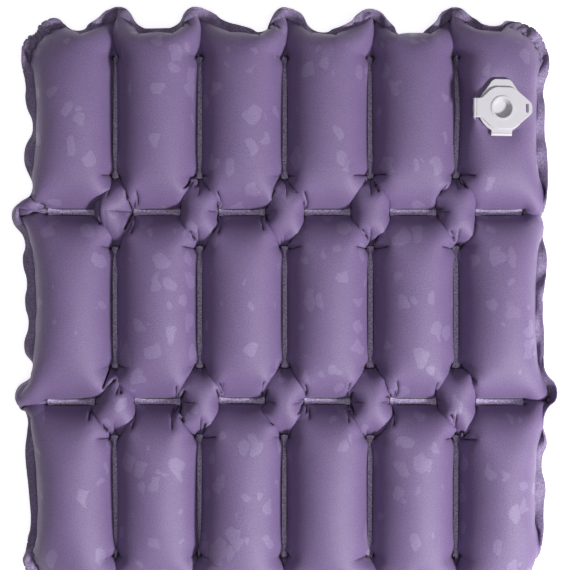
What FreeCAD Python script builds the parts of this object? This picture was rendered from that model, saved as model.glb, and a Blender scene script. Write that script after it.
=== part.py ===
"""Inflatable cell cushion: two coated-fabric sheets welded in a grid of bars, with a two-stage flat valve.

Row frame, millimetres: +X across the columns, +Y along the columns towards the valve end, +Z up.
The origin is the centre of the footprint, on the surface that the cushion lies on.
The two sheets meet on the seam plane, half way up; each cell swells above and below it.
The valve stands on the crown of the last column's end cell and is made in a frame of its own,
whose z = 0 is the outer face of the fabric under it, and is placed by one common Placement.
"""

import FreeCAD, Part

import os
from math import cos, pi

import Sketcher
from FreeCAD import Placement, Rotation, Vector

# Driving dimensions in mm, unless the note says otherwise. Each goes in one spreadsheet cell with this alias.
DIMENSIONS = [
    ("cushion_width", 456, "across the columns, outside the weld flange"),
    ("cushion_length", 506, "along the columns, outside the weld flange"),
    ("corner_radius", 30, "outline corner"),
    ("column_count", 6, "cells across"),
    ("row_count", 3, "cells along"),
    ("flange", 12, "width of the weld round the edge"),
    ("weld_bar", 8, "width of a weld bar between two cells"),
    ("seam_height", 28.1, "height of the seam plane above the surface"),
    ("weld_film", 0.2, "melted coating between the two fabrics"),
    ("fabric", 0.5, "thickness of one coated fabric"),
    ("cell_crown", 29, "round top of a cell above the seam plane, where nothing flattens it"),
    ("cell_plateau", 28, "flattened top of a cell above the seam plane"),
    ("cell_end_run", 30, "length over which a cell's end comes down to its weld"),
    ("node_width", 31, "air passage where four cells meet, across"),
    ("node_length", 56, "the same, along"),
    ("node_crown", 15, "the same, height above the seam plane at its middle, across"),
    ("node_plateau", 14, "the same, along"),
    ("side_node_width", 16, "air passage at the left and right edges, across"),
    ("end_node_length", 30, "air passage at the two ends, along"),
    ("valve_offset_x", -2, "from the middle of its cell, across"),
    ("valve_offset_y", 4, "the same, along"),
    ("valve_tilt", 8, "degrees that the valve leans to the outside of its cell"),
    ("valve_drop", 2, "how far the fabric under the valve lies below the cell's top"),
    ("seat_radius", 25, "flat fabric under the valve"),
    ("seat_skirt", 28, "radius where that flat's sloping side meets the seam plane"),
    ("port_radius", 18.2, "hole in the fabric"),
    ("neck_outer", 18, "radius of the valve's neck"),
    ("neck_inner", 15.2, "the same, inside"),
    ("neck_top", 1.7, "top of the neck above the fabric"),
    ("neck_depth", 6, "bottom of the neck below the fabric's outer face"),
    ("neck_lip", 1.4, "inward lip at the bottom of the neck"),
    ("weld_ring", 24, "outer radius of the flange welded inside the fabric"),
    ("moulding", 1.6, "thickness of the flap's and the cap's plates"),
    ("flap_base", 2, "underside of the flap's plate above the fabric"),
    ("flap_radius", 20.5, "disc of the deflation flap"),
    ("flap_tab_reach", 24.5, "tip of the flap's finger tab"),
    ("flap_tab_root", 13, "where the finger tab's sloping sides start"),
    ("flap_tab_base", 31, "width of the finger tab there"),
    ("flap_tab_tip", 15, "the same at its tip"),
    ("fill_hole", 9.6, "radius of the inflation hole in the flap"),
    ("plug_outer", 14.7, "radius of the flap's plug at its top"),
    ("plug_tip", 13.9, "radius of the flap's plug at its bottom"),
    ("plug_inner", 12.2, "inside radius of the flap's plug"),
    ("plug_bottom", -4.6, "bottom of the flap's plug"),
    ("spider_top", -1.6, "top of the cross that carries the check valve"),
    ("spider_depth", 1.2, "thickness of that cross"),
    ("spider_hub", 3.4, "radius of the hub in the middle of the cross"),
    ("spider_arm", 2.2, "width of an arm of the cross"),
    ("membrane_radius", 11.4, "check valve film"),
    ("membrane_depth", 0.4, "thickness of the film"),
    ("membrane_gap", 0.1, "film below the cross when shut"),
    ("membrane_travel", 1.2, "how far the film drops to let air in"),
    ("pin_radius", 1.2, "rivet that holds the film"),
    ("pin_head", 2.3, "radius of the rivet's heads"),
    ("pin_head_depth", 0.5, "thickness of the rivet's heads"),
    ("cap_base", 3.9, "underside of the inflation cap's plate above the fabric"),
    ("cap_tip_reach", 26, "tip of the cap's pull tab"),
    ("cap_half_width", 17.5, "half of the cap's widest part"),
    ("cap_plug_outer", 9.1, "radius of the cap's plug at its top"),
    ("cap_plug_tip", 7.3, "radius of the cap's plug at its bottom"),
    ("cup_wall", 1, "wall of the cap's hollow plug"),
    ("cup_floor", -0.7, "bottom of the cap's plug"),
    ("cup_rim", 0.5, "raised rim round the cup"),
    ("tab_slot_length", 7.6, "slot in the pull tab, along Y"),
    ("tab_slot_width", 2.4, "slot in the pull tab, along X"),
    ("tab_slot_reach", 21.6, "middle of that slot"),
    ("strap_depth", 1, "thickness of a hinge strap"),
    ("cap_strap_width", 16, "width of the cap's hinge strap"),
    ("cap_strap_root", 22.3, "where the cap's hinge strap starts"),
    ("flap_strap_width", 18, "width of the flap's hinge strap"),
    ("flap_strap_root", 20.5, "where the flap's hinge strap starts"),
    ("strap_run", 1.2, "straight part of a strap before its bend"),
    ("lug_gap", 0.2, "hinge lug of the neck above the fabric"),
    ("cap_arm_length", 4.3, "straight part of the cap's arm from its strap"),
    ("cap_shoulder_back", 8, "cap's full width starts this far behind the middle"),
    ("cap_shoulder_front", 10, "and ends this far in front of it"),
    ("cap_tip_half", 4.1, "half of the cap's tip before its corners are rounded"),
    ("plate_corner", 6, "rounding of the finger tab's corners and the pull tab's tip"),
    ("shoulder_corner", 12, "rounding of the cap's shoulders"),
    ("edge_round", 0.5, "small rounding of the moulded plates' upper edges"),
]
D = {name: value for name, value, _ in DIMENSIONS}

doc = FreeCAD.newDocument("cell_cushion")
sheet = doc.addObject("Spreadsheet::Sheet", "dims")
for row, (alias, value, note) in enumerate(DIMENSIONS, start=1):
    sheet.set(f"A{row}", str(value))
    sheet.setAlias(f"A{row}", alias)
    sheet.set(f"B{row}", note)
doc.recompute()

# Sizes that follow from the driving ones, as expressions over the sheet's cells.
PITCH_X = "((dims.cushion_width - 2 * dims.flange + dims.weld_bar) / dims.column_count)"
PITCH_Y = "((dims.cushion_length - 2 * dims.flange + dims.weld_bar) / dims.row_count)"
CELL_WIDTH = f"({PITCH_X} - dims.weld_bar)"
CELL_LENGTH = f"({PITCH_Y} - dims.weld_bar)"
INNER_WIDTH = "(dims.cushion_width - 2 * dims.flange)"
INNER_LENGTH = "(dims.cushion_length - 2 * dims.flange)"
SHEET_BASE = "(dims.weld_film / 2)"


def bind(thing, **expressions):
    """Sets each property of thing to an expression; a double underscore in a name stands for a dot."""
    for name, expression in expressions.items():
        thing.setExpression(name.replace("__", "."), str(expression))
    return thing


def arc_radius(half_chord, height):
    """The radius of the circle through the ends and the top of an arch."""
    return f"((({half_chord}) ^ 2 + ({height}) ^ 2) / (2 * ({height})))"


def combine(kind, name, pieces):
    """A Part boolean of several objects: MultiFuse or MultiCommon."""
    made = doc.addObject(f"Part::{kind}", name)
    made.Shapes = pieces
    return made


def cut(name, base, tool):
    made = doc.addObject("Part::Cut", name)
    made.Base = base
    made.Tool = tool
    return made


def box(name, width, length, height, x="0", y="0", z="0"):
    """A box centred on x and y, standing on z."""
    made = doc.addObject("Part::Box", name)
    bind(made, Length=width, Width=length, Height=height)
    bind(made, Placement__Base__x=f"({x}) - ({width}) / 2", Placement__Base__y=f"({y}) - ({length}) / 2")
    return bind(made, Placement__Base__z=z)


# ---------------------------------------------------------------------------------------------
# Sketches and bodies
# ---------------------------------------------------------------------------------------------


def new_body(name):
    body = doc.addObject("PartDesign::Body", name)
    body.AllowCompound = True
    return body


def plane_of(body, role):
    return next(f for f in body.Origin.OriginFeatures if f.Role == role)


def new_sketch(body, name, role):
    sketch = body.newObject("Sketcher::SketchObject", name)
    sketch.AttachmentSupport = (plane_of(body, role), [""])
    sketch.MapMode = "FlatFace"
    return sketch


def constrain(sketch, name, expression, *rule):
    """Adds a dimensional constraint and binds it to an expression."""
    index = sketch.addConstraint(Sketcher.Constraint(*rule))
    sketch.renameConstraint(index, name)
    sketch.setExpression(f"Constraints.{name}", str(expression))


gauge = doc.addObject("App::FeaturePython", "gauge")
gauge.addProperty("App::PropertyFloat", "reading")


def value_of(expression):
    """The number that an expression over the sheet comes to, for drawing a sketch near its solution."""
    gauge.setExpression("reading", str(expression))
    gauge.recompute()
    return gauge.reading


def ridge_section(sketch, half, crown, offset, inset, flat_half=None):
    """The section of a ridge on the sketch's X axis: an arch, or two end arcs and a flat top."""
    flat = "0" if flat_half is None else flat_half
    run = f"(({half}) - ({flat}))"
    radius = f"({arc_radius(run, crown)} - ({inset}))"
    rise = f"(({crown}) - {arc_radius(run, crown)})"
    r, z0, x0, f = (value_of(e) for e in (radius, rise, offset, flat))
    foot = (r * r - z0 * z0) ** 0.5
    left, right = Vector(x0 - f - foot, 0, 0), Vector(x0 + f + foot, 0, 0)
    sketch.addGeometry(Part.LineSegment(left, right), False)
    if flat_half is None:
        top = Vector(x0, z0 + r, 0)
        sketch.addGeometry(Part.Arc(right, top, left), False)
        sketch.addConstraint(Sketcher.Constraint("Coincident", 0, 2, 1, 1))
        sketch.addConstraint(Sketcher.Constraint("Coincident", 0, 1, 1, 2))
    else:
        diag = Vector(cos(pi / 4) * r, cos(pi / 4) * r, 0)
        top_right, top_left = Vector(x0 + f, z0 + r, 0), Vector(x0 - f, z0 + r, 0)
        sketch.addGeometry(Part.Arc(right, Vector(x0 + f, z0, 0) + diag, top_right), False)
        sketch.addGeometry(Part.LineSegment(top_right, top_left), False)
        mid_left = Vector(x0 - f - diag.x, z0 + diag.y, 0)
        sketch.addGeometry(Part.Arc(top_left, mid_left, left), False)
        for first, end, second, start in ((0, 2, 1, 1), (3, 2, 0, 1)):
            sketch.addConstraint(Sketcher.Constraint("Coincident", first, end, second, start))
        sketch.addConstraint(Sketcher.Constraint("Tangent", 1, 2, 2, 1))
        sketch.addConstraint(Sketcher.Constraint("Tangent", 2, 2, 3, 1))
        sketch.addConstraint(Sketcher.Constraint("Equal", 1, 3))
        constrain(sketch, "flat", f"2 * ({flat})", "DistanceX", 3, 3, 1, 3, 2 * f)
    sketch.addConstraint(Sketcher.Constraint("PointOnObject", 0, 1, -1))
    sketch.addConstraint(Sketcher.Constraint("Horizontal", 0))
    constrain(sketch, "radius", radius, "Radius", 1, r)
    constrain(sketch, "rise", rise, "DistanceY", -1, 1, 1, 3, z0)
    constrain(sketch, "place", f"({offset}) + ({flat})", "DistanceX", -1, 1, 1, 3, x0 + f)


def ridges(name, role, half, crown, length, inset, groups, flat_half=None):
    """A body of parallel ridges. groups is a list of (count, spacing), each centred on the origin."""
    body = new_body(name)
    across = {"XZ_Plane": "X_Axis", "YZ_Plane": "Y_Axis"}[role]
    for number, (count, spacing) in enumerate(groups):
        first = f"-(({count}) - 1) * ({spacing}) / 2"
        sketch = new_sketch(body, f"{name}_section_{number}", role)
        ridge_section(sketch, half, crown, first, inset, flat_half)
        pad = body.newObject("PartDesign::Pad", f"{name}_pad_{number}")
        pad.Profile = sketch
        pad.SideType = "Symmetric"
        bind(pad, Length=length)
        pattern = body.newObject("PartDesign::LinearPattern", f"{name}_row_{number}")
        pattern.Originals = [pad]
        pattern.Direction = (plane_of(body, across), [""])
        bind(pattern, Length=f"(({count}) - 1) * ({spacing})", Occurrences=count)
        body.Tip = pattern
        doc.recompute()
    return body


def blister(tag, inset):
    """Everything above the seam plane that is swollen: cells and air passages, shrunk by inset."""
    half_flat = f"({CELL_LENGTH} / 2 - dims.cell_end_run)"
    columns = ridges(
        f"{tag}_columns", "XZ_Plane", f"{CELL_WIDTH} / 2", "dims.cell_crown", INNER_LENGTH, inset,
        [("dims.column_count", PITCH_X)],
    )
    rows = ridges(
        f"{tag}_rows", "YZ_Plane", f"{CELL_LENGTH} / 2", "dims.cell_plateau", INNER_WIDTH, inset,
        [("dims.row_count", PITCH_Y)], half_flat,
    )
    cells = combine("MultiCommon", f"{tag}_cells", [columns, rows])
    middle_x = ("dims.column_count - 1", PITCH_X)
    middle_y = ("dims.row_count - 1", PITCH_Y)
    sides = ("2", f"({INNER_WIDTH} - dims.side_node_width)")
    ends = ("2", f"({INNER_LENGTH} - dims.end_node_length)")
    passages = []
    for where, width, length, across, along in (
        ("middle", "dims.node_width", "dims.node_length", middle_x, middle_y),
        ("end", "dims.node_width", "dims.end_node_length", middle_x, ends),
        ("side", "dims.side_node_width", "dims.node_length", sides, middle_y),
    ):
        crown = "dims.side_node_width / 2" if where == "side" else "dims.node_crown"
        plateau = "dims.side_node_width / 2 - 1" if where == "side" else "dims.node_plateau"
        over = ridges(
            f"{tag}_{where}_across", "XZ_Plane", f"{width} / 2", crown, INNER_LENGTH, inset, [across]
        )
        through = ridges(
            f"{tag}_{where}_along", "YZ_Plane", f"{length} / 2", plateau, INNER_WIDTH, inset, [along]
        )
        passages.append(combine("MultiCommon", f"{tag}_{where}_nodes", [over, through]))
    return combine("MultiFuse", f"{tag}_swelling", [cells, *passages])


def outline(name, thickness, z):
    """The flat outline of a sheet with its rounded corners."""
    body = new_body(name)
    sketch = new_sketch(body, f"{name}_edge", "XY_Plane")
    a, b = D["cushion_width"] / 2, D["cushion_length"] / 2
    corners = [Vector(-a, -b, 0), Vector(a, -b, 0), Vector(a, b, 0), Vector(-a, b, 0)]
    for start, end in zip(corners, corners[1:] + corners[:1]):
        sketch.addGeometry(Part.LineSegment(start, end), False)
    for first in range(4):
        sketch.addConstraint(Sketcher.Constraint("Coincident", first, 2, (first + 1) % 4, 1))
        sketch.addConstraint(Sketcher.Constraint(("Horizontal", "Vertical")[first % 2], first))
    sketch.addConstraint(Sketcher.Constraint("Symmetric", 0, 1, 1, 2, -1, 1))
    constrain(sketch, "width", "dims.cushion_width", "DistanceX", 0, 1, 0, 2, 2 * a)
    constrain(sketch, "length", "dims.cushion_length", "DistanceY", 1, 1, 1, 2, 2 * b)
    pad = body.newObject("PartDesign::Pad", f"{name}_pad")
    pad.Profile = sketch
    bind(pad, Length=thickness)
    doc.recompute()
    uprights = [
        f"Edge{i}" for i, e in enumerate(pad.Shape.Edges, start=1) if abs(e.tangentAt(0).z) > 0.9
    ]
    corner = body.newObject("PartDesign::Fillet", f"{name}_corners")
    corner.Base = (pad, uprights)
    bind(corner, Radius="dims.corner_radius")
    body.Tip = corner
    return bind(body, Placement__Base__z=z)


# ---------------------------------------------------------------------------------------------
# The bladder: two sheets and the welds between them
# ---------------------------------------------------------------------------------------------

PARTS = []


def keep(node, thing, placement=None):
    """Marks a document object as a finished sub-part with that node name."""
    thing.Label = node
    if placement is not None:
        thing.Placement = placement
    PARTS.append(thing)
    return thing


def valve_seat_placement():
    """Where the valve's own frame stands: on the last column's end cell, on the fabric's outer face."""
    pitch_x = (D["cushion_width"] - 2 * D["flange"] + D["weld_bar"]) / D["column_count"]
    pitch_y = (D["cushion_length"] - 2 * D["flange"] + D["weld_bar"]) / D["row_count"]
    x = pitch_x * (D["column_count"] - 1) / 2 + D["valve_offset_x"]
    y = pitch_y * (D["row_count"] - 1) / 2 + D["valve_offset_y"]
    z = D["seam_height"] + D["weld_film"] / 2 + D["cell_plateau"] - D["valve_drop"]
    return Placement(Vector(x, y, z), Rotation(Vector(0, 1, 0), D["valve_tilt"]))


SEAT = valve_seat_placement()


def seat_cone(name, inset, depth):
    """The sloping skirt of fabric up to the valve's flat, shrunk by inset, its top at that depth."""
    height = "(dims.seam_height * 0.8)"
    cone = doc.addObject("Part::Cone", name)
    bind(cone, Radius1=f"dims.seat_skirt - {inset}", Radius2=f"dims.seat_radius - {inset}", Height=height)
    drop = D["seam_height"] * 0.8 + depth
    cone.Placement = SEAT.multiply(Placement(Vector(0, 0, -drop), Rotation()))
    return cone


def seat_cutter(name, inset, depth):
    """What lies above the valve's flat at that depth, inside the radius that the valve covers."""
    cutter = doc.addObject("Part::Cylinder", name)
    bind(cutter, Radius=f"dims.seat_radius + 1 + {inset}", Height="dims.seam_height")
    cutter.Placement = SEAT.multiply(Placement(Vector(0, 0, -depth), Rotation()))
    return cutter


def raise_to_sheet(thing, side=1):
    thing.Placement = Placement(Vector(0, 0, D["seam_height"] + side * D["weld_film"] / 2), Rotation())
    return thing


outer = raise_to_sheet(blister("outer", "0"))
inner = raise_to_sheet(blister("inner", "dims.fabric"))
top_flat = outline("top_flat", "dims.fabric", f"dims.seam_height + {SHEET_BASE}")

plain = cut("plain_top", combine("MultiFuse", "outer_with_flat", [outer, top_flat]), inner)
lower = doc.addObject("Part::Mirroring", "lower_sheet")
lower.Source = plain
lower.Normal = Vector(0, 0, 1)
lower.Base = Vector(0, 0, D["seam_height"])
keep("bottom_sheet", lower)

shaped = cut("outer_under_valve", outer, seat_cutter("outer_cutter", "0", 0))
hollow = cut("inner_under_valve", inner, seat_cutter("inner_cutter", "dims.fabric", D["fabric"]))
skin = combine("MultiFuse", "outer_with_seat", [shaped, seat_cone("outer_seat", "0", 0), top_flat])
core = combine("MultiFuse", "inner_with_seat", [hollow, seat_cone("inner_seat", "dims.fabric", D["fabric"])])
port = doc.addObject("Part::Cylinder", "port")
bind(port, Radius="dims.port_radius", Height="dims.seam_height / 2")
port.Placement = SEAT.multiply(Placement(Vector(0, 0, -D["seam_height"] / 4), Rotation()))
above_seam = box("above_seam", "dims.cushion_width", "dims.cushion_length", "2 * dims.seam_height",
                 z=f"dims.seam_height + {SHEET_BASE}")
valve_skin = combine("MultiCommon", "skin_above_seam", [skin, above_seam])
keep("top_sheet", cut("upper_sheet", cut("upper_shell", valve_skin, core), port))

film = outline("film_flat", "dims.weld_film", f"dims.seam_height - {SHEET_BASE}")
film_base = "dims.seam_height - dims.weld_film"
opening = box("inside_the_edge", INNER_WIDTH, INNER_LENGTH, "2 * dims.weld_film", z=film_base)
keep("perimeter_weld", cut("edge_film", film, opening))


def weld_bars(name, bars):
    """Separate flat bars of melted coating. bars is a list of (x, y, width, length) expressions."""
    made = [
        box(f"{name}_{i}", width, length, "dims.weld_film", x, y, f"dims.seam_height - {SHEET_BASE}")
        for i, (x, y, width, length) in enumerate(bars)
    ]
    group = doc.addObject("Part::Compound", name)
    group.Links = made
    return group


def column_bars():
    """The bars between neighbouring columns, one in each row, ending at the air passages."""
    bars = []
    for row in range(D["row_count"]):
        low = f"(({row} - dims.row_count / 2) * {PITCH_Y} + dims.node_length / 2)"
        high = f"(({row + 1} - dims.row_count / 2) * {PITCH_Y} - dims.node_length / 2)"
        if row == 0:
            low = f"(-{INNER_LENGTH} / 2 + dims.end_node_length)"
        if row == D["row_count"] - 1:
            high = f"({INNER_LENGTH} / 2 - dims.end_node_length)"
        for column in range(1, D["column_count"]):
            x = f"({column} - dims.column_count / 2) * {PITCH_X}"
            bars.append((x, f"({low} + {high}) / 2", "dims.weld_bar", f"{high} - {low}"))
    return bars


def row_bars():
    """The bars between neighbouring rows, one in each column, ending at the air passages."""
    bars = []
    for column in range(D["column_count"]):
        low = f"(({column} - dims.column_count / 2) * {PITCH_X} + dims.node_width / 2)"
        high = f"(({column + 1} - dims.column_count / 2) * {PITCH_X} - dims.node_width / 2)"
        if column == 0:
            low = f"(-{INNER_WIDTH} / 2 + dims.side_node_width)"
        if column == D["column_count"] - 1:
            high = f"({INNER_WIDTH} / 2 - dims.side_node_width)"
        for row in range(1, D["row_count"]):
            y = f"({row} - dims.row_count / 2) * {PITCH_Y}"
            bars.append((f"({low} + {high}) / 2", y, f"{high} - {low}", "dims.weld_bar"))
    return bars


keep("column_welds", weld_bars("column_bars", column_bars()))
keep("row_welds", weld_bars("row_bars", row_bars()))

# ---------------------------------------------------------------------------------------------
# The valve, in its own frame: z = 0 is the fabric's outer face, +X points to the pull tab
# ---------------------------------------------------------------------------------------------


def polygon(sketch, points):
    """A closed outline through points, each a pair of expressions."""
    corners = [Vector(value_of(x), value_of(y), 0) for x, y in points]
    for start, end in zip(corners, corners[1:] + corners[:1]):
        sketch.addGeometry(Part.LineSegment(start, end), False)
    for i, ((x, y), corner) in enumerate(zip(points, corners)):
        sketch.addConstraint(Sketcher.Constraint("Coincident", i, 2, (i + 1) % len(points), 1))
        constrain(sketch, f"x{i}", x, "DistanceX", -1, 1, i, 1, corner.x)
        constrain(sketch, f"y{i}", y, "DistanceY", -1, 1, i, 1, corner.y)


def turned(name, points):
    """A body turned about the valve's axis from (radius, height) points."""
    body = new_body(name)
    sketch = new_sketch(body, f"{name}_section", "XZ_Plane")
    polygon(sketch, points)
    turn = body.newObject("PartDesign::Revolution", f"{name}_turn")
    turn.Profile = sketch
    turn.ReferenceAxis = (sketch, ["V_Axis"])
    turn.Angle = 360
    body.Tip = turn
    return body


def plate(name, points, base, thickness, rounded=()):
    """A flat plate on the valve from an outline. rounded is a list of (corner numbers, radius)."""
    body = new_body(name)
    sketch = new_sketch(body, f"{name}_outline", "XY_Plane")
    sketch.setExpression("AttachmentOffset.Base.z", base)
    polygon(sketch, points)
    last = body.newObject("PartDesign::Pad", f"{name}_pad")
    last.Profile = sketch
    bind(last, Length=thickness)
    for number, (corners, radius) in enumerate(rounded):
        doc.recompute()
        spots = [(value_of(points[c][0]), value_of(points[c][1])) for c in corners]
        edges = [f"Edge{i}" for i, e in enumerate(last.Shape.Edges, start=1) if upright_at(e, spots)]
        fillet = body.newObject("PartDesign::Fillet", f"{name}_corner_{number}")
        fillet.Base = (last, edges)
        bind(fillet, Radius=radius)
        last = fillet
    doc.recompute()
    height = value_of(f"({base}) + ({thickness})")
    upper = [
        f"Edge{i}" for i, e in enumerate(last.Shape.Edges, start=1)
        if all(abs(v.Point.z - height) < 1e-6 for v in e.Vertexes)
    ]
    soft = body.newObject("PartDesign::Fillet", f"{name}_soft_edge")
    soft.Base = (last, upper)
    bind(soft, Radius="dims.edge_round")
    body.Tip = soft
    return body


def upright_at(edge, spots):
    """Whether an edge is vertical and stands on one of the (x, y) spots."""
    first, last = edge.Vertexes[0].Point, edge.Vertexes[-1].Point
    if abs(first.x - last.x) + abs(first.y - last.y) > 1e-6:
        return False
    return any(abs(first.x - x) + abs(first.y - y) < 1e-6 for x, y in spots)


def disc(name, radius, thickness, z):
    made = doc.addObject("Part::Cylinder", name)
    return bind(made, Radius=radius, Height=thickness, Placement__Base__z=z)


def block(name, x0, x1, y0, y1, z0, z1):
    """A box between two corners, each coordinate an expression."""
    made = doc.addObject("Part::Box", name)
    bind(made, Length=f"({x1}) - ({x0})", Width=f"({y1}) - ({y0})", Height=f"({z1}) - ({z0})")
    return bind(made, Placement__Base__x=x0, Placement__Base__y=y0, Placement__Base__z=z0)


def strap(name, width, drop, x, y, z, turn):
    """A flat strap folded into a U about a hinge axis; x, y, z is the axis, drop the bend's mean radius."""
    body = new_body(name)
    sketch = new_sketch(body, f"{name}_section", "XZ_Plane")
    far, near = (value_of(f"{drop} {sign} dims.strap_depth / 2") for sign in "+-")
    run = D["strap_run"]
    for start, end in (((0, far), (run, far)), ((run, far), (run, near)), ((run, near), (0, near))):
        sketch.addGeometry(Part.LineSegment(Vector(*start, 0), Vector(*end, 0)), False)
    sketch.addGeometry(Part.Arc(Vector(0, near, 0), Vector(-near, 0, 0), Vector(0, -near, 0)), False)
    for start, end in (((0, -near), (run, -near)), ((run, -near), (run, -far)), ((run, -far), (0, -far))):
        sketch.addGeometry(Part.LineSegment(Vector(*start, 0), Vector(*end, 0)), False)
    sketch.addGeometry(Part.Arc(Vector(0, -far, 0), Vector(-far, 0, 0), Vector(0, far, 0)), False)
    for first, end, second, start in (
        (0, 2, 1, 1),
        (1, 2, 2, 1),
        (2, 2, 3, 1),
        (3, 2, 4, 1),
        (4, 2, 5, 1),
        (5, 2, 6, 1),
        (6, 2, 7, 2),
        (7, 1, 0, 1),
    ):
        sketch.addConstraint(Sketcher.Constraint("Coincident", first, end, second, start))
    for line in (0, 2, 4, 6):
        sketch.addConstraint(Sketcher.Constraint("Horizontal", line))
    for line in (1, 5):
        sketch.addConstraint(Sketcher.Constraint("Vertical", line))
    for arc in (3, 7):
        sketch.addConstraint(Sketcher.Constraint("Coincident", arc, 3, -1, 1))
        sketch.addConstraint(Sketcher.Constraint("PointOnObject", arc, 1, -2))
        sketch.addConstraint(Sketcher.Constraint("PointOnObject", arc, 2, -2))
    constrain(sketch, "near", f"{drop} - dims.strap_depth / 2", "Radius", 3, near)
    constrain(sketch, "far", f"{drop} + dims.strap_depth / 2", "Radius", 7, far)
    constrain(sketch, "upper", "dims.strap_run", "DistanceX", 0, 1, 0, 2, run)
    constrain(sketch, "lower", "dims.strap_run", "DistanceX", 4, 1, 4, 2, run)
    pad = body.newObject("PartDesign::Pad", f"{name}_pad")
    pad.Profile = sketch
    pad.SideType = "Symmetric"
    bind(pad, Length=width)
    body.Tip = pad
    axis = Vector(value_of(x), value_of(y), value_of(z))
    return keep(name, body, SEAT.multiply(Placement(axis, Rotation(Vector(0, 0, 1), turn))))


def valve_base():
    """The neck welded into the port: its flange lies inside the fabric, its hinge lug outside."""
    neck = turned("neck", [
        ("dims.neck_inner - dims.neck_lip", "-dims.neck_depth"),
        ("dims.neck_outer", "-dims.neck_depth"),
        ("dims.neck_outer", "-dims.fabric - 1"),
        ("dims.weld_ring", "-dims.fabric - 1"),
        ("dims.weld_ring", "-dims.fabric"),
        ("dims.neck_outer", "-dims.fabric"),
        ("dims.neck_outer", "dims.neck_top"),
        ("dims.neck_inner", "dims.neck_top"),
        ("dims.neck_inner", "-dims.neck_depth + 1"),
        ("dims.neck_inner - dims.neck_lip", "-dims.neck_depth + 1"),
    ])
    half = "dims.flap_strap_width / 2"
    arm = block("lug_block", f"-{half}", half, "-dims.flap_strap_root", "-dims.neck_inner", "dims.lug_gap",
                "dims.neck_top")
    bore = disc("neck_bore", "(dims.neck_inner + dims.neck_outer) / 2", "dims.neck_top * 2", "0")
    lug = cut("lug", arm, bore)
    return keep("valve_base", combine("MultiFuse", "base", [neck, lug]), SEAT)


def deflate_flap():
    """The lower cap: a disc with a finger tab, a plug for the neck, and a cross for the check valve."""
    top = "dims.flap_base + dims.moulding"
    body = turned("flap_disc", [
        ("dims.fill_hole", "dims.flap_base"),
        ("dims.plug_inner", "dims.flap_base"),
        ("dims.plug_inner", "dims.plug_bottom"),
        ("dims.plug_tip", "dims.plug_bottom"),
        ("dims.plug_outer", "dims.flap_base"),
        ("dims.flap_radius", "dims.flap_base"),
        ("dims.flap_radius", top),
        ("dims.fill_hole", top),
    ])
    wide, tip = "dims.flap_tab_base / 2", "dims.flap_tab_tip / 2"
    tab = plate("finger_tab", [
        (f"-{wide}", "dims.flap_tab_root"),
        (wide, "dims.flap_tab_root"),
        (tip, "dims.flap_tab_reach"),
        (f"-{tip}", "dims.flap_tab_reach"),
    ], "dims.flap_base", "dims.moulding", [((2, 3), "dims.plate_corner")])
    side = "dims.flap_strap_width / 2"
    base = "dims.flap_base"
    root = block("flap_root", f"-{side}", side, "-dims.flap_strap_root", "-dims.neck_inner", base, top)
    arm = "dims.cap_strap_width / 2"
    shelf = block("cap_root", "-dims.cap_strap_root", "-dims.neck_inner", f"-{arm}", arm, base, top)
    low = "dims.spider_top - dims.spider_depth"
    reach = "(dims.plug_inner + 0.5)"
    bar = "dims.spider_arm / 2"
    across = block("spider_x", f"-{reach}", reach, f"-{bar}", bar, low, "dims.spider_top")
    along = block("spider_y", f"-{bar}", bar, f"-{reach}", reach, low, "dims.spider_top")
    hub = disc("spider_hub", "dims.spider_hub", "dims.spider_depth", low)
    whole = combine("MultiFuse", "flap_solid", [body, tab, root, shelf, across, along, hub])
    bore_foot = f"{low} - dims.spider_depth / 2"
    bore = disc("pin_bore", "dims.pin_radius + 0.05", "2 * dims.spider_depth", bore_foot)
    return keep("deflate_flap", cut("flap", whole, bore), SEAT)


def check_valve():
    """The film under the cross, and the rivet that it slides on."""
    shut = "dims.spider_top - dims.spider_depth - dims.membrane_gap"
    film = disc("film", "dims.membrane_radius", "dims.membrane_depth", f"{shut} - dims.membrane_depth")
    hole_foot = f"{shut} - 2 * dims.membrane_depth"
    hole = disc("film_hole", "dims.pin_radius + 0.3", "3 * dims.membrane_depth", hole_foot)
    keep("membrane", cut("film_ring", film, hole), SEAT)
    foot = f"{shut} - dims.membrane_depth - dims.membrane_travel - 0.4"
    keep("membrane_pin", turned("rivet", [
        ("0", f"{foot} - dims.pin_head_depth"),
        ("dims.pin_head", f"{foot} - dims.pin_head_depth"),
        ("dims.pin_head", foot),
        ("dims.pin_radius", foot),
        ("dims.pin_radius", "dims.spider_top"),
        ("dims.pin_head", "dims.spider_top"),
        ("dims.pin_head", "dims.spider_top + dims.pin_head_depth"),
        ("0", "dims.spider_top + dims.pin_head_depth"),
    ]), SEAT)


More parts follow.
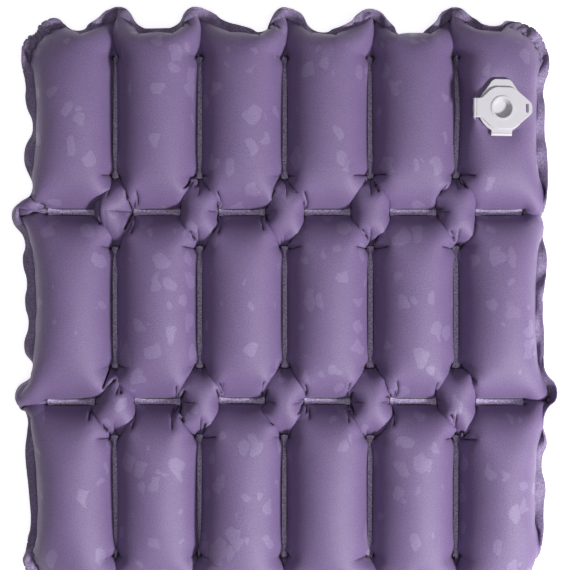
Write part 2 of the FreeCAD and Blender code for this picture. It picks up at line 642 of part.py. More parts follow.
def inflate_cap():
    """The upper cap: a plate with a pull tab and a hollow plug that the finger presses home."""
    arm = "dims.cap_strap_width / 2"
    back = "-dims.cap_strap_root + dims.cap_arm_length"
    half = [
        ("-dims.cap_strap_root", arm),
        (back, arm),
        ("-dims.cap_shoulder_back", "dims.cap_half_width"),
        ("dims.cap_shoulder_front", "dims.cap_half_width"),
        ("dims.cap_tip_reach", "dims.cap_tip_half"),
    ]
    points = half + [(x, f"-{y}") for x, y in reversed(half)]
    flat = plate("cap_plate", points, "dims.cap_base", "dims.moulding", [
        ((2, 3, 6, 7), "dims.shoulder_corner"),
        ((1, 4, 5, 8), "dims.plate_corner"),
    ])
    top = "dims.cap_base + dims.moulding"
    rim = "dims.cap_plug_outer - dims.cup_wall"
    plug = turned("cap_plug", [
        ("0", "dims.cup_floor"),
        ("dims.cap_plug_tip", "dims.cup_floor"),
        ("dims.cap_plug_outer", "dims.cap_base"),
        ("dims.cap_plug_outer", top),
        (f"{rim} + 2", top),
        (f"{rim} + 2", f"{top} + dims.cup_rim"),
        (f"{rim} + 0.4", f"{top} + dims.cup_rim"),
        (rim, top),
        ("dims.cap_plug_tip - dims.cup_wall", "dims.cup_floor + dims.cup_wall"),
        ("0", "dims.cup_floor + dims.cup_wall"),
    ])
    seat = disc("cup_seat", rim, "2 * dims.moulding", "dims.cap_base - dims.moulding / 2")
    mid = "dims.tab_slot_reach"
    wide = "dims.tab_slot_width / 2"
    ends = f"(dims.tab_slot_length / 2 - {wide})"
    under, over = "dims.cap_base - 1", f"{top} + 1"
    slot = block("slot_middle", f"{mid} - {wide}", f"{mid} + {wide}", f"-{ends}", ends, under, over)
    rounds = []
    for sign, name in (("-", "slot_near"), ("", "slot_far")):
        end = disc(name, wide, f"{over} - ({under})", under)
        rounds.append(bind(end, Placement__Base__x=mid, Placement__Base__y=f"{sign}{ends}"))
    holes = combine("MultiFuse", "cap_holes", [seat, slot, *rounds])
    return keep("inflate_cap", combine("MultiFuse", "cap", [cut("cap_flat", flat, holes), plug]), SEAT)


valve_base()
deflate_flap()
check_valve()
inflate_cap()
strap("deflate_flap_strap", "dims.flap_strap_width", "(dims.flap_base - dims.neck_top + dims.moulding) / 2",
      "0", "-dims.flap_strap_root - dims.strap_run", "(dims.flap_base + dims.neck_top) / 2", 90)
strap("inflate_cap_strap", "dims.cap_strap_width", "(dims.cap_base - dims.flap_base) / 2",
      "-dims.cap_strap_root - dims.strap_run", "0", "(dims.flap_base + dims.moulding + dims.cap_base) / 2", 0)

# ---------------------------------------------------------------------------------------------
# Checks and files
# ---------------------------------------------------------------------------------------------

doc.recompute()
failed = [obj.Name for obj in doc.Objects if "Invalid" in obj.State or "Error" in obj.State]
if failed:
    raise RuntimeError(f"objects that did not compute: {failed}")
for thing in PARTS:
    if thing.Shape.isNull() or not thing.Shape.isValid() or not thing.Shape.Solids:
        raise RuntimeError(f"{thing.Label} has no valid solid")
os.makedirs("parts", exist_ok=True)
for thing in PARTS:
    size = thing.Shape.BoundBox
    thing.Shape.exportStep(os.path.join("parts", f"{thing.Label}.step"))
    print(f"{thing.Label}: {len(thing.Shape.Solids)} solid(s), {thing.Shape.Volume:.1f} mm3,"
          f" z {size.ZMin:.2f} to {size.ZMax:.2f}")
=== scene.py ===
"""Looks of the inflatable cell cushion: two sheets blown up from their flat cut, and its valve."""

import bpy
import bmesh
import numpy as np
from math import cos, pi, radians, sin
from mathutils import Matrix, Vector


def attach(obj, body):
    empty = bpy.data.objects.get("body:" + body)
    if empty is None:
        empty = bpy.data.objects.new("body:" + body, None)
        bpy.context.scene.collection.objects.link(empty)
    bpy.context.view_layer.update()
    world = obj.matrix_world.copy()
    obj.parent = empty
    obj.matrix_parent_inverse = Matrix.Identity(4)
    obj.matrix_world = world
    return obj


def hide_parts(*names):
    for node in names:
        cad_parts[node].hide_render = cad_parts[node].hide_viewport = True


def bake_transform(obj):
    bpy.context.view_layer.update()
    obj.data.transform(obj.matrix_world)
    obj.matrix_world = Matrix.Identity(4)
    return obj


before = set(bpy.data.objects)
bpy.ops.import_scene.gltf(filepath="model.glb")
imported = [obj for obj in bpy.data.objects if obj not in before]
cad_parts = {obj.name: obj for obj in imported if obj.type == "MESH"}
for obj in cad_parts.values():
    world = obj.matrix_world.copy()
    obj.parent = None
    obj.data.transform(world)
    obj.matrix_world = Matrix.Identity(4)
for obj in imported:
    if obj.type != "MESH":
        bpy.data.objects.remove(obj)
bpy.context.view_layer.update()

# The flat cut of both sheets, mm: cells in a grid, with weld bars between them and a weld round the edge.
CELLS = np.array([6, 3])
FLAT_PITCH = np.array([104.0, 184.0])
BAR = 8.0
EDGE = 16.0                             # weld round the edge, before it is trimmed
COLUMN_BAR = 108.0                      # length of a bar between two columns
ROW_BAR = 44.0                          # length of a bar between two rows
BAR_END = 2.8                           # how much wider a bar is at its ends than at its waist, each side
TUCK = 1.0                              # how much narrower than BAR the waist is, each side
BAR_ROUND = 2.0                         # radius of a bar's corners
SCRAP = 5.0                             # width trimmed off the weld round the edge
CORNER = 64.0                           # radius of the cut's corners
FLAT = CELLS * FLAT_PITCH - BAR + 2 * EDGE
FABRIC = 0.5                            # thickness of a sheet

# The simulation. Strengths are shares of a pair's error that one pass takes out.
SEED = 7
WRINKLE = 0.6                           # spread of the first unevenness, mm
DOME = 27.0                             # height of a cell's first guess over the seam plane, mm
COARSEST = 8.0                          # step of the first grid, mm
FINEST = 2.0                            # step of the last grid, mm
PASSES = 3                              # passes over all pairs in one step
DAMPING = 0.9                           # share of the speed that is left after a step
SHEAR = 0.3                             # strength of the cloth across its threads
CRUMPLE = 0.05                          # strength of the cloth against being pushed together
RIM_STIFF = 0.004                       # strength of the struts along the edge's weld
STRUT = 16.0                            # length of these struts, mm
SEATING = 30                            # steps in which the valve draws the cloth onto its seat
COARSE_LEVEL = [(300, 0.05), (400, 0.03)]              # steps and pressure, on the coarsest grid
FINER_LEVELS = [(300, 0.01, 0.0), (140, 0.004, 0.02)]  # the same and the share of kinks taken out

# Where the CAD model has them, mm: pitch of the swollen cells, the seam plane, and the valve's seat.
PITCH = np.array([73.3333, 163.3333])
SEAM = 28.1                             # height of the seam plane
TILT = radians(8)                       # slope of the valve's seat
SEAT = np.array([181.3333, 167.3333, 54.2])
SEAT_TURN = np.array([[cos(TILT), 0, sin(TILT)], [0, 1, 0], [-sin(TILT), 0, cos(TILT)]])
PORT = 18.0                             # radius of the port cut in the top sheet
VALVE_FLAT = 24.0                       # radius that the valve's flange holds flat
VALVE_CENTRE = np.array([257.2, 188.5])  # on the flat cut
STRAP_INSIDE = 0.45                     # radius inside a hinge strap's bend
STRAP_OUTSIDE = 1.45                    # radius outside it
STRAP_LEG = 1.2                         # length of a strap's legs

# Colours of the fabric: the cloth, the print on it, the weld bars, and the weld round the edge.
CLOTH = (0.140, 0.093, 0.206, 1), (0.170, 0.115, 0.245, 1)
PRINT = (0.31, 0.25, 0.41, 1)
# Painted light: the weld bars' two tones, mottled at random, are paler than the cloth so that the bars come
# out bright in their shaded grooves.
BAR_PAINTED_LIGHT = (0.19, 0.142, 0.262, 1), (0.52, 0.425, 0.64, 1)
BARE = (0.14, 0.10, 0.20, 1), (0.27, 0.21, 0.35, 1)


# ---------------------------------------------------------------------------------------------
# The bladder: a cloth simulation of the two welded sheets on a grid
# ---------------------------------------------------------------------------------------------


def grid_lines(step, k):
    """Flat coordinates of the grid's lines along axis k; the finest grid's draw in over the bars."""
    even = np.linspace(-FLAT[k] / 2, FLAT[k] / 2, round(FLAT[k] / step) + 1)
    if step > FINEST:
        return even
    place = line_place(even, k)
    return even - np.sign(place) * TUCK * np.clip(1 - abs(abs(place) - BAR / 2) / (BAR / 2), 0, 1)


def cut_grid(step):
    """Flat coordinates of a grid of points over the cut, [row, column]."""
    return np.meshgrid(grid_lines(step, 0), grid_lines(step, 1))


def box_distance(x, y, a, b, r=0.0):
    """Signed distance to a rectangle of half sides a and b with corners of radius r."""
    dx, dy = abs(x) - a + r, abs(y) - b + r
    return np.hypot(np.maximum(dx, 0), np.maximum(dy, 0)) + np.minimum(np.maximum(dx, dy), 0) - r


def cell_place(x, k):
    """The number of the cell that x lies in along axis k, and x from that cell's middle."""
    shifted = x / FLAT_PITCH[k] + CELLS[k] / 2
    number = np.clip(np.floor(shifted), 0, CELLS[k] - 1)
    return number, (shifted - number - 0.5) * FLAT_PITCH[k]


def line_place(x, k):
    """x from the nearest line between two cells along axis k."""
    shifted = x / FLAT_PITCH[k] + CELLS[k] / 2
    return (shifted - np.clip(np.round(shifted), 1, CELLS[k] - 1)) * FLAT_PITCH[k]


def outline_distance(u, v):
    """Signed distance to the cut's outline: negative on the cloth."""
    return box_distance(u, v, FLAT[0] / 2, FLAT[1] / 2, CORNER)


def bar_distance(u, v, shaped=True):
    """Signed distance to the nearest weld bar: negative on it. Shaped bars have a waist."""
    columns = line_place(u, 0), cell_place(v, 1)[1]
    rows = cell_place(u, 0)[1], line_place(v, 1)
    half = []
    for along, length in ((columns[1], COLUMN_BAR), (rows[0], ROW_BAR)):
        end = np.clip(abs(along) / length * 2, 0, 1) ** 4
        half.append(BAR / 2 - TUCK + BAR_END * end if shaped else BAR / 2)
    column_bar = box_distance(*columns, half[0], COLUMN_BAR / 2, BAR_ROUND)
    row_bar = box_distance(*rows, ROW_BAR / 2, half[1], BAR_ROUND)
    return np.minimum(column_bar, row_bar)


def rim_distance(u, v):
    """Signed distance to the weld round the edge: negative on it."""
    return -EDGE - outline_distance(u, v)


def drawn_in(u, v):
    """A first guess at the swollen shape: each cell shortened to its pitch and domed."""
    places = []
    for x, k in ((u, 0), (v, 1)):
        number, local = cell_place(x, k)
        centre = (number - (CELLS[k] - 1) / 2) * PITCH[k]
        off_centre = np.clip(abs(local) / (FLAT_PITCH[k] / 2), 0, 1)
        places.append((centre + local * PITCH[k] / FLAT_PITCH[k], off_centre))
    (x, across), (y, along) = places
    return x, y, DOME * np.sqrt(1 - across ** 2) * np.clip((1 - along) * 2, 0, 1) ** 0.5


def pull(points, rows, columns, rest, stiff, slack):
    """Brings neighbours back to their rest distance. Pairs are taken in two sets that share no point.

    rest holds one distance for each pair; slack is the strength where a pair is too close."""
    height, width = points.shape[1:3]
    for first in (0, 1):
        if columns:
            j = slice(first, width - 1, 2), slice(first + 1, width, 2)
            i = slice(0, height - rows), slice(rows, height)
            if rows < 0:
                i = slice(1, height), slice(0, height - 1)
            length = rest[:, first::2]
        else:
            i = slice(first, height - 1, 2), slice(first + 1, height, 2)
            j = slice(0, width), slice(0, width)
            length = rest[first::2]
        a, b = points[:, i[0], j[0]], points[:, i[1], j[1]]
        gap = b - a
        now = np.sqrt((gap * gap).sum(-1)) + 1e-9
        share = (now - length) / now
        share *= np.where(share > 0, 0.5 * stiff, 0.5 * slack)
        gap *= share[..., None]
        points[:, i[0], j[0]] = a + gap
        points[:, i[1], j[1]] = b - gap


def stiffen_rim(points, x, y, step):
    """The edge's weld, two cloths thick, bends only in long waves: weak struts lie along it."""
    wide = round(EDGE / step) + 1
    reach = round(STRUT / step)
    for start in range(reach):
        across = np.diff(x[start::reach])[None]
        along = np.diff(y[start::reach])[:, None]
        for strip in (slice(0, wide), slice(-wide, None)):
            pull(points[:, strip, start::reach], 0, 1, across, RIM_STIFF, RIM_STIFF)
            pull(points[:, start::reach, strip], 1, 0, along, RIM_STIFF, RIM_STIFF)


def outward(points):
    """Normals at the points, as long as the area each stands for: up on the top sheet, down on the bottom."""
    normal = np.cross(np.gradient(points, axis=2), np.gradient(points, axis=1))
    normal[1] *= -1
    return normal


def relax(points, welded, step, steps, push, scale=(1.0, 1.0), seat=None, bend=0.0):
    """Blows the sheets up for a number of steps: pressure, then cloth, welds, floor and valve."""
    x, y = (grid_lines(step, k) * scale[k] for k in (0, 1))
    across, along = np.diff(x)[None], np.diff(y)[:, None]
    diagonal = np.hypot(across, along)
    speed = np.zeros_like(points)
    for count in range(steps):
        before = points.copy()
        thrust = outward(points) * (push / (step * step * scale[0] * scale[1]))
        thrust[:, welded] = 0
        points += speed * DAMPING + thrust
        for _ in range(PASSES):
            pull(points, 0, 1, across, 1.0, CRUMPLE)
            pull(points, 1, 0, along, 1.0, CRUMPLE)
            pull(points, 1, 1, diagonal, SHEAR, SHEAR * CRUMPLE)
            pull(points, -1, 1, diagonal, SHEAR, SHEAR * CRUMPLE)
            stiffen_rim(points, x, y, step)
            middle = (points[0][welded] + points[1][welded]) / 2
            points[0][welded] = middle
            points[1][welded] = middle
        if bend:
            smooth(points, welded, bend)
        if seat is not None:
            np.maximum(points[..., 2], FABRIC - SEAM, out=points[..., 2])
            hold, target = seat
            share = min(1.0, (count + 1) / SEATING)
            points[0][hold] += (target - points[0][hold]) * share
        speed = points - before
    return points


def smooth(points, welded, amount):
    """Takes out the sharpest kinks between neighbours, off the welds."""
    mean = points.copy()
    along = points[:, :-2, 1:-1] + points[:, 2:, 1:-1]
    mean[:, 1:-1, 1:-1] = (along + points[:, 1:-1, :-2] + points[:, 1:-1, 2:]) / 4
    mean[:, welded] = points[:, welded]
    points += (mean - points) * amount


def finer(points):
    """The same sheets on a grid of half the step."""
    layers, height, width, _ = points.shape
    out = np.empty((layers, 2 * height - 1, 2 * width - 1, 3))
    out[:, ::2, ::2] = points
    out[:, 1::2, ::2] = (points[:, 1:] + points[:, :-1]) / 2
    out[:, :, 1::2] = (out[:, :, 2::2] + out[:, :, :-2:2]) / 2
    return out


def welds_at(u, v, shaped=True):
    """The grid points where the two sheets are welded together."""
    return np.minimum(bar_distance(u, v, shaped), rim_distance(u, v)) < 0.3


def fitted(points, u, v):
    """Sheets moved and scaled so that their weld bars stand at the CAD model's pitch; also the two scales."""
    scale = []
    for k, flat in ((0, u), (1, v)):
        other = cell_place((v, u)[k], 1 - k)[1]
        on_bar = (abs(line_place(flat, k)) < BAR / 2 + 0.3) & (abs(other) < ROW_BAR / 3)
        target = flat[on_bar] / FLAT_PITCH[k] * PITCH[k]
        slope, offset = np.polyfit(points[0][on_bar][:, k], target, 1)
        points[..., k] = points[..., k] * slope + offset
        scale.append(slope)
    points[..., 2] -= points[..., 2].mean()
    return points, scale


def valve_seat(u, v):
    """The points that the valve's flange holds flat, and where they are held, relative to the seam plane."""
    du, dv = u - VALVE_CENTRE[0], v - VALVE_CENTRE[1]
    hold = np.hypot(du, dv) < VALVE_FLAT
    local = np.stack([du[hold], dv[hold], np.zeros(hold.sum()) - FABRIC], axis=-1)
    return hold, local @ SEAT_TURN.T + SEAT - [0, 0, SEAM]


def blow_up():
    """The swollen sheets, mm from the centre of the seam plane, with their flat coordinates."""
    draws = np.random.default_rng(SEED)
    step = COARSEST
    u, v = cut_grid(step)
    x, y, dome = drawn_in(u, v)
    points = np.stack([np.stack([x, y, dome], -1), np.stack([x, y, -dome], -1)])
    points += draws.normal(0, WRINKLE, points.shape)
    for steps, push in COARSE_LEVEL:
        points = relax(points, welds_at(u, v, shaped=False), step, steps, push)
    points, scale = fitted(points, u, v)
    for steps, push, bend in FINER_LEVELS:
        step /= 2
        points = finer(points)
        u, v = cut_grid(step)
        welded = welds_at(u, v, shaped=step <= FINEST)
        points = relax(points, welded, step, steps, push, scale, valve_seat(u, v), bend)
    return points, u, v, step


def sampled(layer, u, v, step):
    """Points of a sheet at any flat coordinates, between the grid's own."""
    lines = grid_lines(step, 0), grid_lines(step, 1)
    x = np.clip(np.interp(u, lines[0], np.arange(len(lines[0]))), 0, layer.shape[1] - 1.001)
    y = np.clip(np.interp(v, lines[1], np.arange(len(lines[1]))), 0, layer.shape[0] - 1.001)
    j, i = x.astype(int), y.astype(int)
    s, t = (x - j)[..., None], (y - i)[..., None]
    low = layer[i, j] * (1 - s) + layer[i, j + 1] * s
    high = layer[i + 1, j] * (1 - s) + layer[i + 1, j + 1] * s
    return low * (1 - t) + high * t


def folds(layer, up):
    """How deep in a crease each point of a sheet lies: 0 where it is smooth or crowned. The fabric's material
    paints shade into the creases by it.
    """
    normal = np.cross(np.gradient(layer, axis=1), np.gradient(layer, axis=0))
    normal /= np.linalg.norm(normal, axis=-1, keepdims=True) + 1e-9
    deep = np.zeros(layer.shape[:2])
    for reach in (1, 2):
        wide = np.pad(layer, ((reach, reach), (reach, reach), (0, 0)), mode="edge")
        near = wide[:-2 * reach, reach:-reach] + wide[2 * reach:, reach:-reach]
        near += wide[reach:-reach, :-2 * reach] + wide[reach:-reach, 2 * reach:]
        lift = ((near / 4 - layer) * normal).sum(-1) * (1 if up else -1)
        deep = np.maximum(deep, lift / (2.0 * reach))
    return deep


def placed(name, data):
    """A new object of the scene that holds some data."""
    made = bpy.data.objects.new(name, data)
    bpy.context.scene.collection.objects.link(made)
    return made


def sheet_mesh(name, layer, u, v, step, port):
    """One sheet as a mesh, trimmed to the cut's outline and, on the top, to the port's edge."""
    u, v = u.copy(), v.copy()
    out = outline_distance(u, v) + SCRAP
    keep = out < step * 0.6
    near = keep & (out > -step * 0.4)
    slope_v, slope_u = np.gradient(out, step)
    length = np.hypot(slope_u, slope_v) + 1e-9
    u[near] -= (out * slope_u / length)[near]
    v[near] -= (out * slope_v / length)[near]
    if port:
        du, dv = u - VALVE_CENTRE[0], v - VALVE_CENTRE[1]
        r = np.hypot(du, dv)
        keep &= r > PORT - step * 0.7
        ring = keep & (r < PORT + step * 0.35)
        u[ring] = VALVE_CENTRE[0] + du[ring] / r[ring] * PORT
        v[ring] = VALVE_CENTRE[1] + dv[ring] / r[ring] * PORT
    spots = sampled(layer, u, v, step)
    number = np.full(u.shape, -1)
    number[keep] = np.arange(keep.sum())
    corners = np.stack([number[:-1, :-1], number[:-1, 1:], number[1:, 1:], number[1:, :-1]], -1)
    corners = corners.reshape(-1, 4)
    corners = corners[(corners >= 0).all(1)]
    if not port:
        corners = corners[:, ::-1]
    mesh = bpy.data.meshes.new(name)
    verts = (spots[keep] + [0, 0, SEAM]) / 1000
    mesh.from_pydata(verts.tolist(), [], corners.tolist())
    # painted_crease_shade holds the crease depth that the material turns into painted shade
    fields = {"bar": bar_distance(u, v), "rim": rim_distance(u, v), "painted_crease_shade": folds(layer, port)}
    for title, values in fields.items():
        held = mesh.attributes.new(title, "FLOAT", "POINT")
        held.data.foreach_set("value", values[keep].astype(np.float32))
    flat = mesh.attributes.new("flat", "FLOAT_VECTOR", "POINT")
    side = np.full(keep.sum(), 0.0 if port else 500.0)
    flat.data.foreach_set("vector", np.stack([u[keep], v[keep], side], -1).astype(np.float32).ravel())
    mesh.shade_smooth()
    piece = placed(name, mesh)
    thick = piece.modifiers.new("fabric", "SOLIDIFY")
    thick.thickness = FABRIC / 1000
    thick.offset = 1.0
    thick.use_even_offset = False
    return piece


# ---------------------------------------------------------------------------------------------
# Materials
# ---------------------------------------------------------------------------------------------


def new_material(name):
    """A material with its node tree and its main shader."""
    material = bpy.data.materials.new(name)
    material.use_nodes = True
    tree = material.node_tree
    return material, tree, tree.nodes["Principled BSDF"]


def feed(tree, socket, value):
    """Links another node's output to a socket, or sets the socket's own value."""
    if isinstance(value, bpy.types.NodeSocket):
        tree.links.new(value, socket)
    else:
        socket.default_value = value


def node(tree, kind, inputs=None, **settings):
    """A shader node with its settings and what goes into its sockets, by name or number."""
    made = tree.nodes.new(kind)
    for name, value in settings.items():
        setattr(made, name, value)
    for name, value in (inputs or {}).items():
        feed(tree, made.inputs[name], value)
    return made


def mix_colour(tree, factor, first, second):
    """first where factor is 0, second where it is 1."""
    return node(tree, "ShaderNodeMix", {0: factor, 6: first, 7: second}, data_type="RGBA").outputs[2]


def maths(tree, operation, *values):
    """An operation on numbers or sockets."""
    return node(tree, "ShaderNodeMath", dict(enumerate(values)), operation=operation).outputs[0]


def noise(tree, where, scale, detail, roughness=0.5):
    """A cloudy texture of a scale, detail and roughness."""
    inputs = {"Vector": where, "Scale": scale, "Detail": detail, "Roughness": roughness}
    return node(tree, "ShaderNodeTexNoise", inputs)


def spread(tree, value, low, high, at_low, at_high):
    """at_low below low, at_high above high, straight between them."""
    inputs = {"Value": value, "From Min": low, "From Max": high, "To Min": at_low, "To Max": at_high}
    return node(tree, "ShaderNodeMapRange", inputs).outputs[0]


def attribute(tree, name, output="Fac"):
    """The mesh attribute of that name."""
    return node(tree, "ShaderNodeAttribute", attribute_name=name).outputs[output]


def ramp(tree, value, low, high):
    """0 below low, 1 above high, smooth between them."""
    made = node(tree, "ShaderNodeMapRange", {"Value": value, "From Min": low, "From Max": high},
                interpolation_type="SMOOTHSTEP")
    return made.outputs[0]


def fabric_material():
    """Coated nylon: satin weave, a faint pebble print, weld bars made pale as painted light, and painted
    shade in its folds.
    """
    material, tree, shader = new_material("coated_nylon")
    flat = attribute(tree, "flat", "Vector")
    bar = attribute(tree, "bar")
    rim = attribute(tree, "rim")
    painted_crease_shade = attribute(tree, "painted_crease_shade")
    on_bar = ramp(tree, bar, 0.6, -0.8)
    on_rim = ramp(tree, rim, 0.6, -0.8)
    pressed = maths(tree, "MAXIMUM", on_bar, on_rim)
    pebble = pebble_print(tree, flat, pressed)
    mottle = noise(tree, flat, 0.06, 3.0, 0.6)
    grain = noise(tree, flat, 0.9, 2.0, 0.7)
    crushed = noise(tree, flat, 0.45, 4.0, 0.8)
    patchy = ramp(tree, crushed.outputs["Fac"], 0.3, 0.7)
    colour = mix_colour(tree, mottle.outputs["Fac"], *CLOTH)
    colour = mix_colour(tree, maths(tree, "MULTIPLY", pebble, 0.24), colour, PRINT)
    # Painted light on the weld bars: their pale colour stands in for light that the grooves don't get.
    colour = mix_colour(tree, on_bar, colour, mix_colour(tree, patchy, *BAR_PAINTED_LIGHT))
    colour = mix_colour(tree, on_rim, colour, mix_colour(tree, patchy, *BARE))
    colour = scaled(tree, colour, spread(tree, grain.outputs["Fac"], 0.3, 0.7, 0.74, 1.26))
    # Painted shade in the creases: the colour is darkened down to 0.08 of itself in the deepest, less on the
    # edge's weld, not inside the bars.
    painted_crease_shade = maths(tree, "MULTIPLY", painted_crease_shade, ramp(tree, bar, -1.8, -0.6))
    painted_crease_shade = maths(tree, "MULTIPLY", painted_crease_shade, maths(tree, "MULTIPLY_ADD", on_rim, -0.6, 1.0))
    colour = scaled(tree, colour, spread(tree, painted_crease_shade, 0.045, 0.27, 1.0, 0.08))
    tree.links.new(colour, shader.inputs["Base Color"])
    rough = maths(tree, "MULTIPLY_ADD", pebble, -0.10, 0.52)
    rough = maths(tree, "MULTIPLY_ADD", pressed, 0.14, rough)
    tree.links.new(rough, shader.inputs["Roughness"])
    shader.inputs["Specular IOR Level"].default_value = 0.40
    shader.inputs["Sheen Weight"].default_value = 0.10
    shader.inputs["Sheen Roughness"].default_value = 0.40
    shader.inputs["Sheen Tint"].default_value = (0.80, 0.72, 0.95, 1)
    bump = node(tree, "ShaderNodeBump", {"Height": fabric_relief(tree, flat, grain, crushed, pebble, pressed),
                                         "Strength": 0.8, "Distance": 0.001})
    tree.links.new(bump.outputs[0], shader.inputs["Normal"])
    return material


def scaled(tree, colour, factor):
    """A colour times a number."""
    made = node(tree, "ShaderNodeVectorMath", {0: colour, "Scale": factor}, operation="SCALE")
    return made.outputs[0]


def pebble_print(tree, flat, pressed):
    """1 on rounded patches up to 16 mm across, scattered over the cells but not on the welds."""
    bend = noise(tree, flat, 0.07, 1.0)
    shift = node(tree, "ShaderNodeVectorMath", {0: bend.outputs["Color"], 1: (16.0, 16.0, 0.0)},
                 operation="MULTIPLY")
    warped = node(tree, "ShaderNodeVectorMath", {0: flat, 1: shift.outputs[0]}, operation="ADD")
    squeezed = node(tree, "ShaderNodeVectorMath", {0: warped.outputs[0], 1: (1.15, 0.9, 1.0)},
                    operation="MULTIPLY")
    scatter = {"Vector": squeezed.outputs[0], "Scale": 0.056, "Randomness": 0.9}
    cells = node(tree, "ShaderNodeTexVoronoi", scatter, feature="F1")
    chosen = node(tree, "ShaderNodeSeparateColor", {"Color": cells.outputs["Color"]})
    size = maths(tree, "MULTIPLY_ADD", chosen.outputs[0], 0.34, 0.14)
    inside = maths(tree, "SUBTRACT", size, cells.outputs["Distance"])
    there = ramp(tree, chosen.outputs[1], 0.28, 0.32)
    pebble = maths(tree, "MULTIPLY", ramp(tree, inside, -0.02, 0.035), there)
    return maths(tree, "MULTIPLY", pebble, maths(tree, "SUBTRACT", 1.0, pressed))


def fabric_relief(tree, flat, grain, crushed, pebble, pressed):
    """Height of the cloth, mm: threads both ways, grain, the print's slight step, and the crushed welds."""
    split = node(tree, "ShaderNodeSeparateXYZ", {"Vector": flat})
    threads = [maths(tree, "SINE", maths(tree, "MULTIPLY", split.outputs[k], 2 * pi / 0.55)) for k in (0, 1)]
    height = maths(tree, "MULTIPLY", maths(tree, "MULTIPLY", *threads), 0.03)
    height = maths(tree, "MULTIPLY_ADD", grain.outputs["Fac"], 0.22, height)
    height = maths(tree, "MULTIPLY_ADD", pebble, 0.04, height)
    creased = maths(tree, "MULTIPLY", crushed.outputs["Fac"], maths(tree, "MULTIPLY", pressed, 0.5))
    return maths(tree, "ADD", height, creased)


def plastic_material(name, colour, roughness):
    """Moulded soft plastic: even colour with a slight unevenness and a fine matt skin."""
    material, tree, shader = new_material(name)
    where = node(tree, "ShaderNodeTexCoord").outputs["Object"]
    cloud = noise(tree, where, 90.0, 3.0)
    darker = tuple(c * 0.9 for c in colour) + (1,)
    tree.links.new(mix_colour(tree, cloud.outputs["Fac"], darker, (*colour, 1)), shader.inputs["Base Color"])
    grain = noise(tree, where, 2250.0, 2.0)
    uneven = maths(tree, "MULTIPLY_ADD", cloud.outputs["Fac"], 0.12, roughness - 0.06)
    tree.links.new(uneven, shader.inputs["Roughness"])
    soft = node(tree, "ShaderNodeBevel", {"Radius": 0.00035}, samples=6)
    bump = node(tree, "ShaderNodeBump", {"Height": grain.outputs["Fac"], "Strength": 0.12, "Distance": 0.0002,
                                         "Normal": soft.outputs[0]})
    tree.links.new(bump.outputs[0], shader.inputs["Normal"])
    shader.inputs["Specular IOR Level"].default_value = 0.45
    return material


def floor_material():
    """A pale floor that gives off some light of its own, so that it comes out white."""
    material, tree, shader = new_material("pale_floor")
    where = node(tree, "ShaderNodeTexCoord").outputs["Object"]
    cloud = noise(tree, where, 3.0, 3.0)
    colour = mix_colour(tree, cloud.outputs["Fac"], (0.86, 0.86, 0.86, 1), (0.90, 0.90, 0.90, 1))
    tree.links.new(colour, shader.inputs["Base Color"])
    shader.inputs["Roughness"].default_value = 0.8
    shader.inputs["Emission Color"].default_value = (1, 1, 1, 1)
    shader.inputs["Emission Strength"].default_value = 0.72
    return material


def clad(piece, material):
    """Gives a piece its only material."""
    piece.data.materials.clear()
    piece.data.materials.append(material)


# ---------------------------------------------------------------------------------------------
# The pieces
# ---------------------------------------------------------------------------------------------


def seat_point(x, y, z):
    """A point of the valve's frame, mm, in the row frame, m."""
    return Vector((SEAT + SEAT_TURN @ np.array([x, y, z])) / 1000)


def valve_nodes():
    """Gives each CAD node of the valve its material."""
    for name in ("valve_base", "deflate_flap", "inflate_cap", "membrane_pin"):
        clad(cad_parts[name], VALVE_LOOK)
    clad(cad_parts["membrane"], FILM_LOOK)


def bend_line(radius, out):
    """Points along a U of some radius: the lower leg's end, the bend towards out, the upper leg's end."""
    up = np.array([0, 0, 1.0])
    bend = [out * cos(t) * radius + up * sin(t) * radius for t in np.linspace(-pi / 2, pi / 2, 24)]
    return [-out * STRAP_LEG - up * radius, *bend, -out * STRAP_LEG + up * radius]


def strap(name, node_name, axis, along, out, width):
    """A hinge strap: a band bent in a U about axis, from the lower body of the two to the upper one.

    along is the hinge's direction and out points to the bend. These and axis are in the valve's frame."""
    steps_across = 12
    along, out = np.array(along, float), np.array(out, float)
    loop = bend_line(STRAP_INSIDE, out) + bend_line(STRAP_OUTSIDE, out)[::-1]
    verts, faces = [], []
    count = len(loop)
    for s in range(steps_across + 1):
        shift = (s / steps_across - 0.5) * width
        verts += [seat_point(*(np.array(axis) + p + along * shift)) for p in loop]
    for s in range(steps_across):
        for i in range(count):
            a, b = s * count + i, s * count + (i + 1) % count
            faces.append((a, b, b + count, a + count))
    half = count // 2
    for s in (0, steps_across):
        base = s * count
        for i in range(half - 1):
            quad = (base + i, base + i + 1, base + count - 2 - i, base + count - 1 - i)
            faces.append(quad if s else quad[::-1])
    mesh = bpy.data.meshes.new(name)
    mesh.from_pydata([tuple(p) for p in verts], [], faces)
    shape = bmesh.new()
    shape.from_mesh(mesh)
    bmesh.ops.recalc_face_normals(shape, faces=shape.faces)
    shape.to_mesh(mesh)
    shape.free()
    mesh.shade_smooth()
    piece = placed(name, mesh)
    edge = piece.modifiers.new("edge", "BEVEL")
    edge.width = 0.0002
    edge.segments = 2
    edge.limit_method = "ANGLE"
    clad(piece, VALVE_LOOK)
    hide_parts(node_name)
    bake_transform(piece)


# ---------------------------------------------------------------------------------------------
# Floor, light and camera
# ---------------------------------------------------------------------------------------------


def floor():
    """The floor under the cushion."""
    mesh = bpy.data.meshes.new("floor")
    mesh.from_pydata([(-6, -6, 0), (6, -6, 0), (6, 6, 0), (-6, 6, 0)], [], [(0, 1, 2, 3)])
    plane = placed("floor", mesh)
    clad(plane, floor_material())


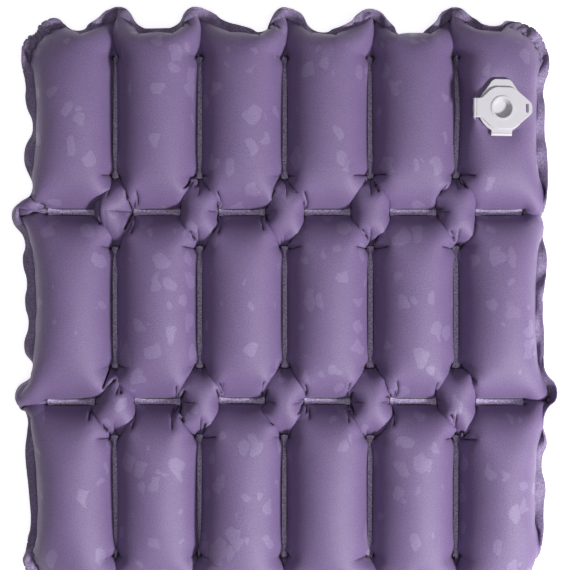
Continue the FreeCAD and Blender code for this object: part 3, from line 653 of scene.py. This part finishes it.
def area_light(name, place, size, power):
    """A round white light that shines at the origin."""
    lamp = bpy.data.lights.new(name, "AREA")
    lamp.shape = "DISK"
    lamp.size = size
    lamp.energy = power
    lit = placed(name, lamp)
    lit.location = place
    lit.rotation_euler = (Vector((0, 0, 0)) - Vector(place)).to_track_quat("-Z", "Y").to_euler()


def camera():
    """Straight above, with a strip 0.492 m wide at the seam plane's height filling the frame."""
    distance = 1.04
    width = 0.492
    lens = bpy.data.cameras.new("camera")
    lens.sensor_width = 36
    lens.lens = lens.sensor_width * distance / width
    eye = placed("camera", lens)
    eye.location = (0, 0.019, distance + 0.028)
    bpy.context.scene.camera = eye


def surroundings():
    """A faint even light from all sides, and plain colours in the picture."""
    world = bpy.data.worlds.new("studio")
    world.use_nodes = True
    world.node_tree.nodes["Background"].inputs[0].default_value = (1, 1, 1, 1)
    world.node_tree.nodes["Background"].inputs[1].default_value = 0.12
    bpy.context.scene.world = world
    bpy.context.scene.view_settings.view_transform = "Standard"


# ---------------------------------------------------------------------------------------------
# Everything, in order
# ---------------------------------------------------------------------------------------------

FABRIC_LOOK = fabric_material()
VALVE_LOOK = plastic_material("valve_plastic", (0.53, 0.51, 0.55), 0.45)
FILM_LOOK = plastic_material("silicone_film", (0.45, 0.45, 0.47), 0.3)

points, flat_u, flat_v, grid_step = blow_up()
top = sheet_mesh("top_fabric", points[0], flat_u, flat_v, grid_step, True)
bottom = sheet_mesh("bottom_fabric", points[1], flat_u, flat_v, grid_step, False)
for piece in (top, bottom):
    clad(piece, FABRIC_LOOK)
    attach(piece, "cushion")
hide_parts("top_sheet", "perimeter_weld", "column_welds", "row_welds")
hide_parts("bottom_sheet")

valve_nodes()
strap("flap_strap", "deflate_flap_strap", (0, -21.7, 1.85), (1, 0, 0), (0, -1, 0), 18)
strap("cap_strap", "inflate_cap_strap", (-23.5, 0, 3.75), (0, 1, 0), (-1, 0, 0), 16)

floor()
area_light("key", (1.35, -1.05, 1.35), 0.42, 68)
area_light("overhead", (0.1, -0.1, 1.9), 0.9, 9)
camera()
surroundings()
